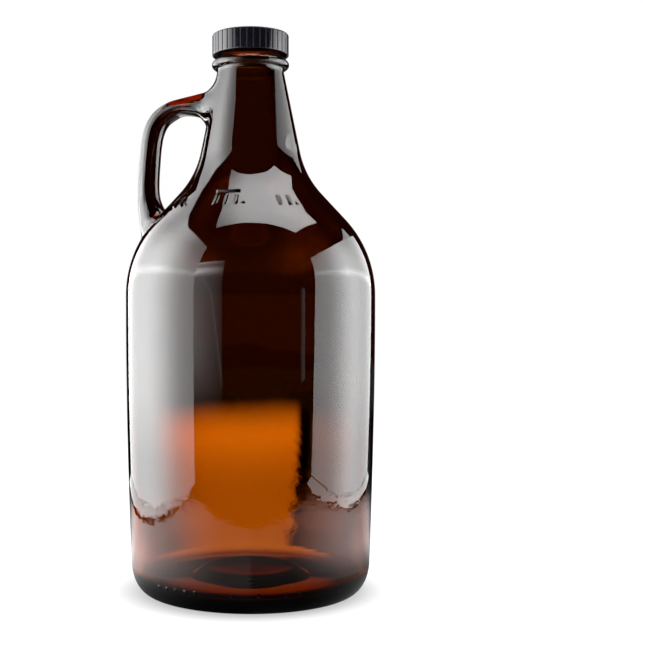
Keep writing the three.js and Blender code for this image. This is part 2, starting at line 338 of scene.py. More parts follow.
OUTER_POINTS = jug_outside()
OUTER_LENGTH = len(clean(OUTER_POINTS))  # rows of the mesh from here on are inside


def raised_marks(angle, radius, height):
    """The moulded bars and dots on the shoulder, and the row of dots on the heel."""
    _, slope_start = shoulder(0)
    rise = (height - slope_start[1]) / math.cos(SHOULDER_SLOPE)
    turn = np.mod(angle + math.pi, 2 * math.pi) - math.pi
    total = 0 * angle * height

    def bar(middle_rise, middle_angle, long, wide):
        across = np.abs((turn - middle_angle) * radius) - wide / 2 + MARK_CORNER
        up = np.abs(rise - middle_rise) - long / 2 + MARK_CORNER
        beyond = np.hypot(np.maximum(across, 0), np.maximum(up, 0))
        return MARK_PROUD * (1 - smooth_step(beyond, 0, MARK_EDGE))

    for group, size in enumerate(GROUP_SIZES):
        middle = (group - (len(GROUP_SIZES) - 1) / 2) * GROUP_STEP
        for i in range(size):
            at = middle + (i - (size - 1) / 2) * MARK_STEP
            total = np.maximum(total, bar(MARK_RISE, at, MARK_LENGTH, MARK_WIDTH))
        dot = middle + (size + 0.3) / 2 * MARK_STEP
        total = np.maximum(total, bar(DOT_RISE, dot, DOT_SIZE, DOT_SIZE) * DOT_SHARE)
    total = np.maximum(total, bar(FILL_LINE_RISE, 0, MARK_WIDTH, FILL_LINE_LENGTH))
    total = total * (rise > 0) * (height < MARKS_END)

    for at in HEEL_DOT_ROW + HEEL_DOT_OTHERS:
        beyond = np.hypot((turn - at) * radius, height - HEEL_DOT_HEIGHT)
        dot = HEEL_DOT_PROUD * (1 - smooth_step(beyond, 0.15, HEEL_DOT_RADIUS))
        total = np.maximum(total, dot * (height < HEEL_HEIGHT + 4))
    return total


def glass_flow(angle, height):
    """Slow unevenness of the inner skin, as blown glass has."""
    return (
        0.12 * np.sin(2 * angle + 0.7 + height / 61)
        + 0.07 * np.sin(3 * angle - 1.9 - height / 37)
        + 0.04 * np.sin(5 * angle + 2.4 + height / 23)
        + 0.02 * np.sin(8 * angle - height / 15)
    )


def jug_surface(angle, radius, height):
    """Marks, thread and a slight swell on the outside, and the unevenness of the inside."""
    row = np.arange(radius.shape[0])[:, None]
    outside = row < OUTER_LENGTH - 1
    thread = thread_bump(angle, height, THREAD_LOW, FINISH_RADIUS, THREAD_CREST_RADIUS)
    bumps = raised_marks(angle, radius, height) + thread * (height > NECK_TOP + BEAD_HEIGHT + 0.3)
    swell = 0.045 * np.sin(2 * angle + height / 47) + 0.03 * np.sin(3 * angle + 1 - height / 29)
    swell = swell * smooth_step(height, 14, 40) * (1 - smooth_step(height, 215, 240))
    flow = glass_flow(angle, height) * smooth_step(height, 8, 30)
    flow = flow * (1 - smooth_step(height, 230, 262))
    return np.where(outside, bumps + swell, flow)


def handle_curve(share):
    """Middle line and half sizes of the handle at shares of its length, by Catmull-Rom."""
    points = np.array(HANDLE_LINE, float)
    padded = np.concatenate([[2 * points[0] - points[1]], points, [2 * points[-1] - points[-2]]])
    place = np.clip(np.asarray(share, float), 0, 1) * (len(points) - 1)
    cell = np.minimum(place.astype(int), len(points) - 2)
    t = (place - cell)[..., None]
    p0, p1, p2, p3 = (padded[cell + k] for k in range(4))
    value = 0.5 * (
        2 * p1 + (p2 - p0) * t + (2 * p0 - 5 * p1 + 4 * p2 - p3) * t**2
        + (3 * p1 - p0 - 3 * p2 + p3) * t**3
    )
    near_end = np.maximum(0, 1 - np.minimum(share, 1 - share) / ROOT_FLARE_LENGTH)
    wide = HANDLE_HALF_WIDE + ROOT_FLARE_WIDE * near_end**2
    return value[..., 0], value[..., 1], value[..., 2], wide


def handle_point(share, corner):
    """Points on the handle's skin, whose section is an ellipse across its middle line."""
    step = 1e-3
    r, z, thick, wide = handle_curve(share)
    r0, z0, _, _ = handle_curve(np.clip(share - step, 0, 1))
    r1, z1, _, _ = handle_curve(np.clip(share + step, 0, 1))
    dr, dz = r1 - r0, z1 - z0
    length = np.hypot(dr, dz)
    out_r, out_z = -dz / length, dr / length
    u, v = thick * np.cos(corner), wide * np.sin(corner)
    return np.stack([-(r + out_r * u), v, z + out_z * u], -1)


# The stretch of the jug's outline that is near the handle, and how many points are measured at once
SKIN = clean([p for p in OUTER_POINTS if p[1] > 60])
BATCH = 4000


def body_distance(points):
    """Signed distance to the jug's outside, positive outside."""
    at = np.stack([np.hypot(points[:, 0], points[:, 1]), points[:, 2]], 1)
    start, along = SKIN[:-1], np.diff(SKIN, axis=0)
    square = (along**2).sum(1)
    best = np.full(len(at), 1e9)
    sign = np.ones(len(at))
    for begin in range(0, len(at), BATCH):
        part = at[begin : begin + BATCH]
        offset = part[:, None, :] - start[None]
        t = np.clip((offset * along[None]).sum(2) / square[None], 0, 1)
        gap = offset - t[..., None] * along[None]
        distance = (gap**2).sum(2)
        nearest = distance.argmin(1)
        pick = np.arange(len(part))
        g = gap[pick, nearest]
        a = along[nearest]
        best[begin : begin + BATCH] = np.sqrt(distance[pick, nearest])
        sign[begin : begin + BATCH] = np.sign(g[:, 0] * a[:, 1] - g[:, 1] * a[:, 0])
    return best * sign


HANDLE_SAMPLES = np.linspace(0, 1, 500)


def handle_distance(points):
    """Distance to the handle's skin, nearly true close to it, positive outside."""
    r, z, thick, wide = handle_curve(HANDLE_SAMPLES)
    dr, dz = np.gradient(r), np.gradient(z)
    length = np.hypot(dr, dz)
    dr, dz = dr / length, dz / length
    result = np.empty(len(points))
    for begin in range(0, len(points), BATCH):
        part = points[begin : begin + BATCH]
        pr, pz = -part[:, 0], part[:, 2]
        near = ((pr[:, None] - r) ** 2 + (pz[:, None] - z) ** 2).argmin(1)
        u = (pr - r[near]) * -dz[near] + (pz - z[near]) * dr[near]
        v = part[:, 1]
        q = np.sqrt((u / thick[near]) ** 2 + (v / wide[near]) ** 2) + 1e-9
        slope = np.sqrt((u / thick[near] ** 2) ** 2 + (v / wide[near] ** 2) ** 2) / q + 1e-9
        result[begin : begin + BATCH] = (q - 1) / slope
    return result


def blended_distance(points):
    """Distance to the jug and handle together, with a fillet where they meet."""
    body, ring = body_distance(points), handle_distance(points)
    overlap = np.maximum(FILLET - np.abs(body - ring), 0) / FILLET
    return np.minimum(body, ring) - overlap**2 * FILLET / 4


def make_handle():
    """The ring handle as a closed mesh whose two ends lie inside the glass wall."""
    corners = np.linspace(0, 2 * math.pi, 72, endpoint=False)
    start, stop = np.empty(len(corners)), np.empty(len(corners))
    shares = np.linspace(0, 1, 400)
    for i, corner in enumerate(corners):
        depth = body_distance(handle_point(shares, corner)) + ROOT_INSET
        outside = np.nonzero(depth > 0)[0]
        start[i], stop[i] = shares[outside[0]], shares[outside[-1]]
    steps = np.linspace(0, 1, 170)[:, None]
    share = start[None] + (stop - start)[None] * steps
    rings = handle_point(share, corners[None] + 0 * share)
    count, size = rings.shape[:2]
    ends = []
    for ring in (rings[0], rings[-1]):
        middle = ring.mean(0)
        for _ in range(8):
            middle[0] += 0.8 * (ROOT_INSET + body_distance(middle[None])[0])
        ends.append(middle)
    vertices = np.concatenate([rings.reshape(-1, 3), ends])
    faces = []
    for ring in range(count - 1):
        for i in range(size):
            j = (i + 1) % size
            a, b = ring * size, (ring + 1) * size
            faces.append([a + i, b + i, b + j, a + j])
    first, last, top = count * size, count * size + 1, (count - 1) * size
    for i in range(size):
        j = (i + 1) % size
        faces.append([first, i, j])
        faces.append([last, top + j, top + i])
    mesh = new_mesh("handle", vertices, faces)
    shape = bmesh.new()
    shape.from_mesh(mesh)
    bmesh.ops.recalc_face_normals(shape, faces=shape.faces)
    shape.to_mesh(mesh)
    shape.free()
    return mesh


def join_solids(target, tool_mesh):
    """Unites a closed mesh with the target object and leaves one skin."""
    tool = new_object("tool", tool_mesh)
    union = target.modifiers.new("union", "BOOLEAN")
    union.operation = "UNION"
    union.solver = "MANIFOLD"
    union.object = tool
    graph = bpy.context.evaluated_depsgraph_get()
    joined = bpy.data.meshes.new_from_object(target.evaluated_get(graph))
    target.modifiers.clear()
    target.data = joined
    bpy.data.objects.remove(tool)


def round_roots(obj):
    """Moves the skin round the handle's roots on to one soft fillet."""
    mesh = obj.data
    shape = bmesh.new()
    shape.from_mesh(mesh)
    bmesh.ops.remove_doubles(shape, verts=shape.verts, dist=WELD_DISTANCE * MM)
    shape.verts.ensure_lookup_table()

    def places():
        return np.array([v.co for v in shape.verts]) / MM

    def blend_zone(points, margin):
        near = (points[:, 0] < -ROOT_ZONE_IN) & (np.abs(points[:, 1]) < ROOT_ZONE_HALF_WIDE)
        near &= (points[:, 2] > ROOT_ZONE_LOW) & (points[:, 2] < ROOT_ZONE_HIGH)
        index = np.nonzero(near)[0]
        body, ring = body_distance(points[index]), handle_distance(points[index])
        keep = (body > -0.8) & (np.abs(body - ring) < FILLET + margin) & (ring < FILLET + margin)
        return index[keep]

    def settle(index, points, rounds):
        """Moves these points on to the blended skin by a few steps down its slope."""
        spot = points[index]
        for _ in range(rounds):
            value = blended_distance(spot)
            slope = np.empty_like(spot)
            for axis, step in enumerate(np.eye(3) * reach):
                rise = blended_distance(spot + step) - blended_distance(spot - step)
                slope[:, axis] = rise / (2 * reach)
            size = np.maximum((slope**2).sum(1), 0.05)
            move = (value / size)[:, None] * slope
            length = np.linalg.norm(move, axis=1)[:, None]
            spot = spot - move * np.minimum(1, 1.5 / np.maximum(length, 1e-9))
        points[index] = spot
        for i, place in zip(index, spot):
            shape.verts[i].co = Vector(place) * MM

    reach = 0.02
    points = places()
    settle(blend_zone(points, 1.0), points, 5)
    for _ in range(4):
        inner = [shape.verts[i] for i in blend_zone(places(), -0.3)]
        for _ in range(3):
            bmesh.ops.smooth_vert(
                shape, verts=inner, factor=0.5, use_axis_x=True, use_axis_y=True, use_axis_z=True
            )
        points = places()
        settle(blend_zone(points, 1.0), points, 3)
    shape.to_mesh(mesh)
    shape.free()
    mesh.shade_smooth()


def make_jug():
    # Columns of the mesh in degrees, close together over the marks on the front
    marked = np.arange(-48, 48.01, 0.4)
    plain = np.arange(50, 312, 2)
    angles = np.radians(np.concatenate([marked, plain]))
    mesh = turned("amber_jug", OUTER_POINTS + jug_inside(), angles, jug_surface)
    jug = new_object("amber_jug", mesh)
    join_solids(jug, make_handle())
    round_roots(jug)
    return jug


# ---- Cap and seal --------------------------------------------------------------------------------


def make_cap():
    """The cap, turned from the middle of its ceiling, round the foot, to the middle of its top."""
    ceiling = CAP_TOP - CAP_TOP_THICKNESS
    foot, edge = CAP_FOOT_EDGE, CAP_TOP_EDGE
    outline = [(r, ceiling) for r in np.linspace(0, CAP_BORE_RADIUS - 0.6, 12)]
    outline += arc((CAP_BORE_RADIUS - 0.5, ceiling - 0.5), 0.5, math.pi / 2, 0, 5)
    outline += line(outline[-1], (CAP_BORE_RADIUS, CAP_BOTTOM + 0.35), 42)
    outline += arc((CAP_BORE_RADIUS + 0.3, CAP_BOTTOM + 0.3), 0.3, math.pi, math.pi * 1.5, 4)
    outline += arc((CAP_RADIUS - foot, CAP_BOTTOM + foot), foot, math.pi * 1.5, 2 * math.pi, 4)
    outline += line((CAP_RADIUS, CAP_BOTTOM + foot + 0.05), (CAP_RADIUS, CAP_TOP - edge - 0.1), 22)
    outline += arc((CAP_RADIUS - edge, CAP_TOP - edge), edge, 0, math.pi / 2, 10)
    outline += [(r, CAP_TOP) for r in np.linspace(CAP_RADIUS - 1.4, 0, 14)]
    # The cap's thread runs half a pitch below the jug's, wherever it starts
    rise = CAP_THREAD_LOW - (THREAD_LOW - THREAD_PITCH / 2)
    thread_start = math.pi / 2 + rise / THREAD_PITCH * 2 * math.pi

    def surface(angle, radius, height):
        """The thread and snap bead inside, the grooves round the skirt and the ring on the top."""
        inner = (radius < CAP_BORE_RADIUS + 0.1) & (height < ceiling - 0.4)
        bead = SNAP_BEAD_PROUD * (1 - smooth_step(np.abs(height - SNAP_BEAD_HEIGHT), 0.05, 0.4))
        thread = thread_bump(
            angle, height, CAP_THREAD_LOW, CAP_BORE_RADIUS, CAP_THREAD_CREST_RADIUS, thread_start
        )
        inside = np.maximum(bead, thread) * inner * (radius > CAP_BORE_RADIUS - 0.1)
        pitch = 2 * math.pi / RIB_COUNT
        across = np.abs(np.mod(angle / pitch + 0.5, 1) - 0.5)
        groove = 1 - smooth_step(across, RIB_GROOVE_FLOOR, RIB_GROOVE_TOP)
        skirt = smooth_step(radius, CAP_RADIUS - 0.62, CAP_RADIUS - 0.1)
        skirt = skirt * smooth_step(height, CAP_BOTTOM + 0.1, CAP_BOTTOM + 0.55)
        ribs = -RIB_GROOVE_DEPTH * groove * skirt * (height > CAP_BOTTOM)
        ring = CAP_RING_DEPTH * (1 - smooth_step(np.abs(radius - CAP_RING_RADIUS), 0.1, 0.45))
        return inside + ribs - ring * (height > CAP_TOP - 0.1)

    # Columns of one rib, close together across the groove at 0 and wide apart on the land after it
    side = [RIB_GROOVE_FLOOR, 0.045, 0.065, 0.09]
    columns = [-c for c in side[::-1]] + [0] + side + [0.2, 0.35, 0.5, 0.65, 0.8]
    ribs = np.arange(RIB_COUNT)[:, None] + np.array(columns)[None]
    mesh = turned("screw_cap", outline, ribs.ravel() / RIB_COUNT * 2 * math.pi, surface)
    return new_object("screw_cap", mesh)


def make_seal():
    """A disc that lies on the rim, and under it the thin cone that wedges into the mouth."""
    under = RIM_HEIGHT + SEAL_GAP
    top = CAP_TOP - CAP_TOP_THICKNESS - SEAL_GAP
    inner_foot = (CONE_TIP_RADIUS - 0.8, CONE_TIP_HEIGHT + 0.2)
    tip_middle = (CONE_TIP_RADIUS - 0.5, CONE_TIP_HEIGHT + 0.3)
    outline = [(r, under - 0.2) for r in np.linspace(0, CONE_TOP_RADIUS - CONE_WALL - 1.0, 8)]
    outline += line((CONE_TOP_RADIUS - CONE_WALL - 0.6, under - 0.5), inner_foot, 14)
    outline += arc(tip_middle, 0.3, math.pi * 1.1, 1.95 * math.pi, 6)
    outline += line((CONE_TIP_RADIUS, CONE_TIP_HEIGHT + 0.4), (CONE_TOP_RADIUS, under - 1.2), 16)
    outline += [(CONE_TOP_RADIUS + 0.12, under - 0.5), (CONE_TOP_RADIUS + 0.4, under)]
    outline += line((CONE_TOP_RADIUS + 0.5, under), (SEAL_RADIUS - 0.3, under), 8)
    outline += arc((SEAL_RADIUS - 0.2, under + 0.2), 0.2, -math.pi / 2, 0, 4)
    outline += arc((SEAL_RADIUS - 0.2, top - 0.2), 0.2, 0, math.pi / 2, 4)
    outline += [(r, top) for r in np.linspace(SEAL_RADIUS - 0.5, 0, 8)]

    def surface(angle, radius, height):
        """Fine rings pressed into the disc's face, and a slight unevenness of the moulding."""
        face = (np.abs(height - under) < 0.05) * (radius > CONE_TOP_RADIUS + 0.9)
        face = face * (radius < SEAL_RADIUS - 0.6)
        rings = SEAL_RING_DEPTH * np.cos((radius - 14) / SEAL_RING_STEP * 2 * math.pi) * face
        return rings + 0.01 * np.sin(3 * angle) * (height < under - 2)

    angles = np.arange(144) / 144 * 2 * math.pi
    return new_object("seal_cone", turned("seal_cone", outline, angles, surface))


# ---- Materials -----------------------------------------------------------------------------------


def material(name):
    made = bpy.data.materials.new(name)
    made.use_nodes = True
    tree = made.node_tree
    return made, tree, tree.nodes["Principled BSDF"], tree.nodes["Material Output"]


def bare_material(name):
    """A material without nodes, and its node tree."""
    made = bpy.data.materials.new(name)
    made.use_nodes = True
    made.node_tree.nodes.clear()
    return made, made.node_tree


def node(tree, kind, inputs=None, **settings):
    """A new node. Each input is a number, a colour or vector, or another node's output to link."""
    made = tree.nodes.new(kind)
    for key, value in settings.items():
        setattr(made, key, value)
    for key, value in (inputs or {}).items():
        if isinstance(value, bpy.types.NodeSocket):
            tree.links.new(value, made.inputs[key])
        else:
            made.inputs[key].default_value = value
    return made


def object_place(tree):
    return node(tree, "ShaderNodeTexCoord").outputs["Object"]


def noise(tree, scale, detail=3.0, stretch=(1, 1, 1), rough=0.5):
    """Noise over the object's own metres, so its grain keeps its size."""
    place = {"Vector": object_place(tree), "Scale": stretch}
    mapped = node(tree, "ShaderNodeMapping", place).outputs[0]
    grain = {"Vector": mapped, "Scale": scale, "Detail": detail, "Roughness": rough}
    return node(tree, "ShaderNodeTexNoise", grain).outputs["Fac"]


def remap(tree, value, low, high, to_low, to_high):
    """Carries a value from one range to another, with a soft start and end."""
    ranges = {"Value": value, 1: low, 2: high, 3: to_low, 4: to_high}
    return node(tree, "ShaderNodeMapRange", ranges, interpolation_type="SMOOTHSTEP").outputs[0]


def product(tree, first, second):
    return node(tree, "ShaderNodeMath", {0: first, 1: second}, operation="MULTIPLY").outputs[0]


def mixed_colour(tree, share, first, second):
    """The first colour where share is 0 and the second where it is 1."""
    parts = {"Factor": share, 6: first, 7: second}
    return node(tree, "ShaderNodeMix", parts, data_type="RGBA").outputs[2]


def bump(tree, height, distance, strength=1.0, normal=None):
    inputs = {"Height": height, "Distance": distance, "Strength": strength}
    if normal is not None:
        inputs["Normal"] = normal
    return node(tree, "ShaderNodeBump", inputs).outputs[0]


def amber_glass():
    """Clear glass coloured by its volume, so that thick glass is darker.

    The skin has long waves up the jug, a few smudges, and fine ripples in a belt above the heel.
    """
    made, tree, surface, out = material("amber_glass")
    surface.inputs["Base Color"].default_value = (1, 1, 1, 1)
    surface.inputs["Transmission Weight"].default_value = 1
    surface.inputs["IOR"].default_value = 1.52
    smudges = remap(tree, noise(tree, 38, 4, (1, 1, 0.6)), 0.5, 0.75, 0.0, 0.03)
    tree.links.new(smudges, surface.inputs["Roughness"])
    height = node(tree, "ShaderNodeSeparateXYZ", {0: object_place(tree)}).outputs["Z"]
    above = remap(tree, height, 28 * MM, 40 * MM, 0, 1)
    below = remap(tree, height, 52 * MM, 60 * MM, 1, 0)
    ripples = product(tree, noise(tree, 260, 2, (1, 1, 1.3)), product(tree, above, below))
    rippled = bump(tree, ripples, 0.05 * MM)
    skin = bump(tree, noise(tree, 60, 2, (1, 1, 0.35)), 0.05 * MM, 1.0, rippled)
    tree.links.new(skin, surface.inputs["Normal"])
    inside = node(tree, "ShaderNodeVolumeAbsorption")
    inside.inputs["Color"].default_value = (0.832, 0.62, 0.02, 1)
    inside.inputs["Density"].default_value = 970
    tree.links.new(inside.outputs[0], out.inputs["Volume"])
    return made


def black_plastic():
    """Glossy with a fine grain and patches of wear, and matte in the grooves between the ribs."""
    made, tree, surface, _ = material("black_plastic")
    tone = remap(tree, noise(tree, 90, 4), 0.3, 0.7, 0, 1)
    colour = mixed_colour(tree, tone, (0.003, 0.0035, 0.006, 1), (0.007, 0.0075, 0.012, 1))
    tree.links.new(colour, surface.inputs["Base Color"])
    worn = remap(tree, noise(tree, 260, 5, rough=0.6), 0.35, 0.7, 0.09, 0.16)
    level = {0: object_place(tree), 1: (1, 1, 0)}
    flat = node(tree, "ShaderNodeVectorMath", level, operation="MULTIPLY").outputs[0]
    radius = node(tree, "ShaderNodeVectorMath", {0: flat}, operation="LENGTH").outputs["Value"]
    land = remap(tree, radius, (CAP_RADIUS - 0.2) * MM, (CAP_RADIUS - 0.05) * MM, 0, 1)
    rough = node(tree, "ShaderNodeMix", {0: land, 2: 0.55, 3: worn}).outputs[0]
    tree.links.new(rough, surface.inputs["Roughness"])
    tree.links.new(bump(tree, noise(tree, 1900, 2), 0.02 * MM, 0.6), surface.inputs["Normal"])
    surface.inputs["IOR"].default_value = 1.5
    return made


def white_seal():
    """Waxy white plastic that lets a little light in."""
    made, tree, surface, _ = material("white_seal")
    tone = remap(tree, noise(tree, 120, 4), 0.3, 0.7, 0, 1)
    colour = mixed_colour(tree, tone, (0.80, 0.79, 0.75, 1), (0.86, 0.855, 0.82, 1))
    tree.links.new(colour, surface.inputs["Base Color"])
    worn = remap(tree, noise(tree, 400, 3), 0.3, 0.7, 0.38, 0.5)
    tree.links.new(worn, surface.inputs["Roughness"])
    surface.inputs["Subsurface Weight"].default_value = 0.25
    surface.inputs["Subsurface Radius"].default_value = (3 * MM, 2.5 * MM, 2 * MM)
    surface.inputs["Subsurface Scale"].default_value = 0.5
    tree.links.new(bump(tree, noise(tree, 1200, 3), 0.02 * MM, 0.7), surface.inputs["Normal"])
    return made


# ---- Stage: camera, floor and lights -------------------------------------------------------------
# Places on the stage are (across, away, up) in metres as the camera sees them, from the jug's axis.

CAMERA_AZIMUTH = rad(16)
CAMERA_DISTANCE = 0.579
CAMERA_HEIGHT = 0.137
ACROSS = np.array([math.cos(CAMERA_AZIMUTH), math.sin(CAMERA_AZIMUTH), 0])
AWAY = np.array([-math.sin(CAMERA_AZIMUTH), math.cos(CAMERA_AZIMUTH), 0])
UP = np.array([0, 0, 1.0])

# The stage's two tall panels, the far end of the flap, and the front edge of the lit floor
LEFT_PANEL = -0.263
RIGHT_PANEL = 0.32
FLAP_END = (-0.12, -0.29)
FLOOR_FRONT = -0.227


def staged(across, away, up):
    """Places on the stage as places in the object's frame."""
    parts = zip((across, away, up), (ACROSS, AWAY, UP))
    return sum(np.multiply.outer(amount, direction) for amount, direction in parts)


def set_camera():
    data = bpy.data.cameras.new("camera")
    camera = bpy.data.objects.new("camera", data)
    bpy.context.scene.collection.objects.link(camera)
    data.sensor_width = 36
    data.lens = 62.62
    data.shift_x = 0.1116
    data.clip_start, data.clip_end = 0.01, 50
    camera.location = staged(0, -CAMERA_DISTANCE, CAMERA_HEIGHT)
    camera.rotation_euler = (math.pi / 2, 0, CAMERA_AZIMUTH)
    bpy.context.scene.camera = camera


def bell(value, middle, width):
    """1 at the middle, falling away smoothly on both sides."""
    return np.exp(-(((value - middle) / width) ** 2))


def light_sheet(name, spots, columns, level, lights_matte=True):
    """A sheet through rows of staged spots, with a level at each, that the camera doesn't see.

    With lights_matte False it is seen in gloss and through glass, but lights no matte surface.
    """
    rows = len(spots) // columns
    faces = []
    for i in range(rows - 1):
        for j in range(columns - 1):
            a = i * columns + j
            faces.append([a, a + columns, a + columns + 1, a + 1])
    mesh = bpy.data.meshes.new(name)
    mesh.from_pydata([tuple(p) for p in staged(*spots.T)], [], faces)
    attribute = mesh.attributes.new("glow", "FLOAT", "POINT")
    attribute.data.foreach_set("value", np.maximum(level, 0).astype(np.float32))
    sheet = new_object(name, mesh)
    made, tree = bare_material(name)
    strength = node(tree, "ShaderNodeAttribute", attribute_name="glow").outputs["Fac"]
    if not lights_matte:
        depth = node(tree, "ShaderNodeLightPath").outputs["Diffuse Depth"]
        strength = product(tree, strength, remap(tree, depth, 0, 1, 1, 0))
    light = node(tree, "ShaderNodeEmission", {"Strength": strength}).outputs[0]
    node(tree, "ShaderNodeOutputMaterial", {"Surface": light})
    mesh.materials.append(made)
    sheet.visible_camera = False
    return sheet


def glowing(name, corners, glow, cells=24):
    """A panel given by its four corners in order, whose level is glow(across, away, up)."""
    corners = np.array(corners, float)
    s, t = np.meshgrid(np.linspace(0, 1, cells + 1), np.linspace(0, 1, cells + 1), indexing="ij")
    s, t = s.ravel()[:, None], t.ravel()[:, None]
    spots = corners[0] * (1 - s) * (1 - t) + corners[1] * s * (1 - t)
    spots = spots + corners[2] * s * t + corners[3] * (1 - s) * t
    panel = light_sheet(name, spots, cells + 1, glow(*spots.T))
    panel.visible_transmission = False
    return panel


# The two tall panels are brightest in an upright band and dimmer upwards and near the floor. The
# bright line across each shows as a crease in the jug's reflections.


def left_glow(across, away, up):
    level = 3.3 + 1.1 * smooth_step(away, -0.1, 0.1) + 6.2 * bell(away, -0.025, 0.11)
    level = level * (1 - 0.45 * smooth_step(up, 0.25, 0.42))
    level = level * (0.75 + 0.25 * smooth_step(up, 0.02, 0.1))
    crease = bell(up, 0.232 - 0.1 * away, 0.012) * (0.4 + 0.6 * bell(away, -0.03, 0.07))
    level = level + 4.5 * crease
    top = 0.47 + 0.55 * np.maximum(away, 0)
    return level * smooth_step(top - up, -0.004, 0.004)


def right_glow(across, away, up):
    level = 3.4 + 4.0 * bell(away, 0.01, 0.1)
    level = level * (1 - 0.4 * smooth_step(up, 0.25, 0.42))
    level = level * (0.8 + 0.2 * smooth_step(up, 0.02, 0.1))
    crease = bell(up, 0.238 - 0.12 * away, 0.012) * (0.6 + 0.8 * bell(away, 0.01, 0.04))
    return level + 3.0 * crease


def high_glow(across, away, up):
    top = 0.79 + 0.35 * np.maximum(away - 0.45, 0)
    return (2.6 - 0.8 * smooth_step(up, 0.6, 0.79)) * smooth_step(top - up, -0.006, 0.006)


def flap_glow(across, away, up):
    inward = (across - LEFT_PANEL) / (FLAP_END[0] - LEFT_PANEL)
    level = (1.7 - 1.45 * inward) * smooth_step(up, 0.05, 0.12)
    level = level + 6.0 * (1 - 0.9 * inward) * (bell(up, 0.27, 0.02) + 0.5 * bell(up, 0.32, 0.012))
    return level + 0.5 * bell(up, 0.30 - 0.21 * inward, 0.005)


def top_glow(across, away, up):
    return (2.4 + 3.6 * smooth_step(across, -0.2, 0)) * (1 - 0.35 * smooth_step(away, 0, 0.2))


def dark(across, away, up):
    return 0 * across


def sliver_glow(across, away, up):
    return 0.45 * smooth_step(across, 0.25, 0.28)


def set_lights():
    """Tall panels left and right, a high one far to the right, a flap, a sliver and one above.

    Each tall panel has a lit skirt on the floor, and a dark strip of painted shade parts it from
    the lit floor.
    """
    left, right = LEFT_PANEL, RIGHT_PANEL
    glowing(
        "left_panel",
        [(left, -0.243, 0.003), (left, 0.34, 0.003), (left, 0.42, 0.62), (left, -0.257, 0.49)],
        left_glow,
        60,
    )
    glowing(
        "left_skirt",
        [(left, -0.243, 0.002), (left, 0.34, 0.002), (-0.18, 0.34, 0.002), (-0.262, -0.243, 0.002)],
        lambda across, away, up: 0.7 * left_glow(across, away, up),
    )
    # A dark sheet on the floor, painted shade where the left panel's skirt meets the lit floor; the
    # camera doesn't see it.
    glowing(
        "left_painted_shade_strip",
        [
            (-0.262, -0.243, 0.003),
            (-0.18, 0.34, 0.003),
            (-0.165, 0.34, 0.003),
            (-0.246, -0.243, 0.003),
        ],
        dark,
        1,
    )
    glowing(
        "right_panel",
        [(right, -0.245, 0.003), (right, 0.30, 0.003), (right, 0.41, 0.365), (right, -0.2, 0.365)],
        right_glow,
        60,
    )
    glowing(
        "right_high",
        [(1.0, -0.38, 0.4), (1.0, 1.1, 0.4), (1.0, 1.1, 1.0), (1.0, -0.38, 1.0)],
        high_glow,
        60,
    )
    glowing(
        "right_skirt",
        [(0.27, -0.245, 0.002), (0.27, 0.3, 0.002), (right, 0.3, 0.002), (right, -0.245, 0.002)],
        right_glow,
    )
    # A dark sheet on the floor, painted shade where the right panel's skirt meets the lit floor;
    # the camera doesn't see it.
    glowing(
        "right_painted_shade_strip",
        [(0.256, -0.245, 0.003), (0.256, 0.3, 0.003), (0.27, 0.3, 0.003), (0.27, -0.245, 0.003)],
        dark,
        1,
    )
    glowing(
        "front_flap",
        [(left, -0.243, 0.05), (*FLAP_END, 0.05), (*FLAP_END, 0.325), (left, -0.243, 0.325)],
        flap_glow,
        60,
    )
    glowing(
        "right_sliver",
        [(0.257, -0.29, 0.085), (0.30, -0.29, 0.085), (0.30, -0.29, 0.185), (0.257, -0.29, 0.185)],
        sliver_glow,
        8,
    )
    glowing(
        "top_panel",
        [(-0.215, -0.165, 0.62), (0.305, -0.165, 0.62), (0.38, 0.12, 0.62), (-0.05, 0.22, 0.62)],
        top_glow,
    )


def side_floor_glow(across, away):
    """The floor in front of the jug and beside it, brighter the further round from the front, as
    painted light from the panels, with painted shadow close round the jug and a painted pool of
    light right under its base.
    """
    distance = np.hypot(across, away)
    turn = np.degrees(np.arctan2(np.abs(across), -away))
    left = (0.4 + 2.2 * smooth_step(turn, 15, 85)) * (1 - 0.25 * smooth_step(turn, 95, 120))
    # Painted shadow of the jug: the glow dies away close round the base.
    left = left * smooth_step(distance, 0.045, 0.145)
    right = (0.3 + 1.8 * smooth_step(turn, 25, 80)) * (1 - 0.4 * smooth_step(turn, 90, 115))
    # Painted shadow on the right: only a tenth of the glow is left close round the base.
    right = right * (0.1 + 0.9 * smooth_step(distance, 0.085, 0.17))
    level = np.where(across < 0, left, right) * (1 - 0.9 * smooth_step(distance, 0.24, 0.36))
    # The last term is a painted pool of light on the floor right under the base.
    return level * (away > FLOOR_FRONT - 0.0005) + 0.9 * (1 - smooth_step(distance, 0.04, 0.048))


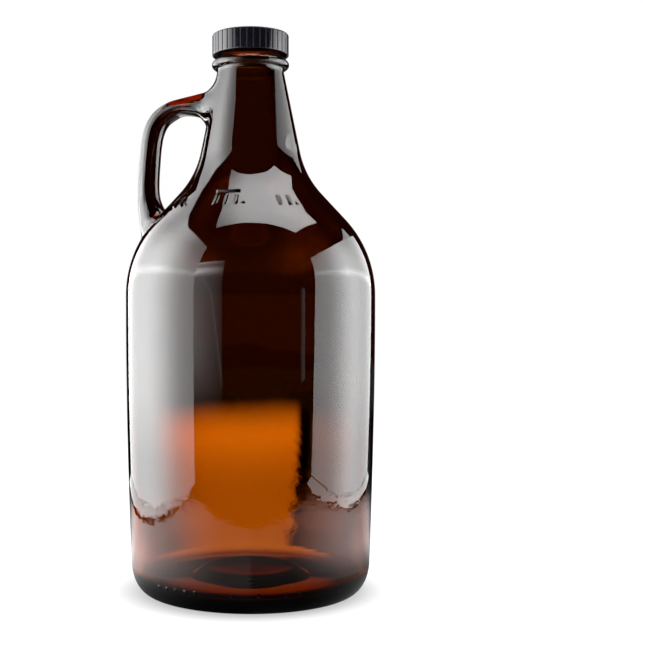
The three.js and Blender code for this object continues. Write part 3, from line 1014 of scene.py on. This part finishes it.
def far_floor_glow(across, away):
    """The floor behind the jug, a bright fan that is widest and brightest far away; its glow is
    painted light, with painted shadow close round the jug and along the fan's sides, and a painted
    pool of light right under the base.
    """
    distance = np.hypot(across, away)
    level = 1.5 + 1.2 * smooth_step(distance, 0.3, 0.85)
    level = level * (1 - smooth_step(distance, 0.7, 1.42))
    # Painted shadow of the jug close round its base.
    level = level * (0.3 + 0.7 * smooth_step(distance, 0.05, 0.085))
    # The fan's sides are painted shade, darkest on the right.
    narrow = 0.012 + 0.022 * (1 - smooth_step(distance, 0.07, 0.12))
    fan = (np.abs(across) - narrow) / np.maximum(away + 0.12, 0.02)
    near = 1 - smooth_step(distance, 0.2, 0.4)
    left = np.maximum(1 - smooth_step(fan, 0.05, 0.24), 0.2 * near)
    right = 1 - smooth_step(fan, 0.058, 0.068)
    right = right + 0.17 * smooth_step(fan, 0.085, 0.1) * (1 - smooth_step(fan, 0.2, 0.28))
    share = np.where(across < 0, left, np.maximum(right, 0.1 * near))
    # Painted pool of light right under the base.
    share = np.maximum(share, 1 - smooth_step(distance, 0.053, 0.062))
    return level * share + 0.035 * smooth_step(distance, 0.9, 1.4)


def set_floor():
    """The white floor that the camera sees, with a painted contact shadow: its glow is darker close
    round the jug.
    """
    shape = bmesh.new()
    bmesh.ops.create_grid(shape, x_segments=1, y_segments=1, size=6.0)
    mesh = bpy.data.meshes.new("floor")
    shape.to_mesh(mesh)
    shape.free()
    floor = new_object("floor", mesh)
    made, tree = bare_material("floor")
    place = {0: object_place(tree)}
    distance = node(tree, "ShaderNodeVectorMath", place, operation="LENGTH").outputs["Value"]
    # Painted contact shadow: the glow falls from 1.0 to 0.5 within 75 mm of the jug's axis, on top
    # of the real shade in the matte paint.
    level = remap(tree, distance, 0.05, 0.075, 0.5, 1.0)
    glow = node(tree, "ShaderNodeEmission", {"Strength": level}).outputs[0]
    paint = node(tree, "ShaderNodeBsdfDiffuse", {"Color": (0.3, 0.3, 0.3, 1)}).outputs[0]
    both = node(tree, "ShaderNodeAddShader", {0: glow, 1: paint}).outputs[0]
    node(tree, "ShaderNodeOutputMaterial", {"Surface": both})
    made.cycles.emission_sampling = "NONE"
    mesh.materials.append(made)
    for ray in ("diffuse", "glossy", "transmission", "shadow"):
        setattr(floor, "visible_" + ray, False)


def set_floor_light():
    """The floor as the jug shows it, in its reflections and through its glass: a sheet whose glow
    is painted light and shade on the floor.
    """
    near_across, far_across = np.linspace(-0.43, 0.43, 130), np.linspace(0.45, 2.6, 40)
    columns = np.concatenate([-far_across[::-1], near_across, far_across])
    front, edge = np.linspace(-2.6, -0.3, 20), [FLOOR_FRONT - 0.001]
    rows = [front, edge, np.linspace(FLOOR_FRONT, 0.4, 100), np.linspace(0.42, 2.6, 90)]
    rows = np.concatenate(rows)
    spots = np.stack(np.meshgrid(columns, rows, [0.0], indexing="ij"), -1).reshape(-1, 3)
    across, away, _ = spots.T
    turn = np.degrees(np.arctan2(np.abs(across), -away))
    behind = smooth_step(turn, 125, 150)
    level = side_floor_glow(across, away) * (1 - behind) + far_floor_glow(across, away) * behind
    light = light_sheet("floor_light", spots, len(rows), level, lights_matte=False)
    light.data.materials[0].cycles.emission_sampling = "NONE"
    light.visible_shadow = False


def set_world():
    """A white backdrop for the camera, which is nearly dark in reflections and lights nothing.

    Rays that the glass turns back towards the camera's side see a soft light beside them.
    """
    world = bpy.data.worlds.new("studio")
    bpy.context.scene.world = world
    world.use_nodes = True
    tree = world.node_tree
    tree.nodes.clear()
    path = node(tree, "ShaderNodeLightPath")
    way = node(tree, "ShaderNodeTexCoord").outputs["Generated"]
    ahead = node(tree, "ShaderNodeVectorMath", {0: way, 1: tuple(AWAY)}, operation="DOT_PRODUCT")
    beside = remap(tree, ahead.outputs["Value"], -0.5, 0, 0.45, 0)
    direct = remap(tree, path.outputs["Diffuse Depth"], 0, 1, 1, 0)
    seen = product(tree, direct, path.outputs["Is Transmission Ray"])
    white = (1, 1, 1, 1)
    dim = mixed_colour(tree, product(tree, beside, seen), (0.024, 0.004, 0.002, 1), white)
    colour = mixed_colour(tree, path.outputs["Is Camera Ray"], dim, white)
    sky = node(tree, "ShaderNodeBackground", {"Color": colour}).outputs[0]
    node(tree, "ShaderNodeOutputWorld", {"Surface": sky})


def set_renderer():
    scene = bpy.context.scene
    scene.view_settings.view_transform = "Standard"
    scene.cycles.max_bounces = 24
    scene.cycles.transmission_bounces = 24
    scene.cycles.glossy_bounces = 12
    scene.cycles.diffuse_bounces = 3
    scene.cycles.caustics_refractive = False
    scene.cycles.caustics_reflective = False


# ---- The object ----------------------------------------------------------------------------------

jug = make_jug()
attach(jug, "jug")
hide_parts("glass_jug")

cap = make_cap()
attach(cap, "cap")
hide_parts("cap_shell")

seal = make_seal()
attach(seal, "seal")
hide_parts("cone_seal")

jug.data.materials.clear()
jug.data.materials.append(amber_glass())
cap.data.materials.append(black_plastic())
seal.data.materials.append(white_seal())

set_camera()
set_floor()
set_floor_light()
set_lights()
set_world()
set_renderer()

bpy.context.view_layer.update()
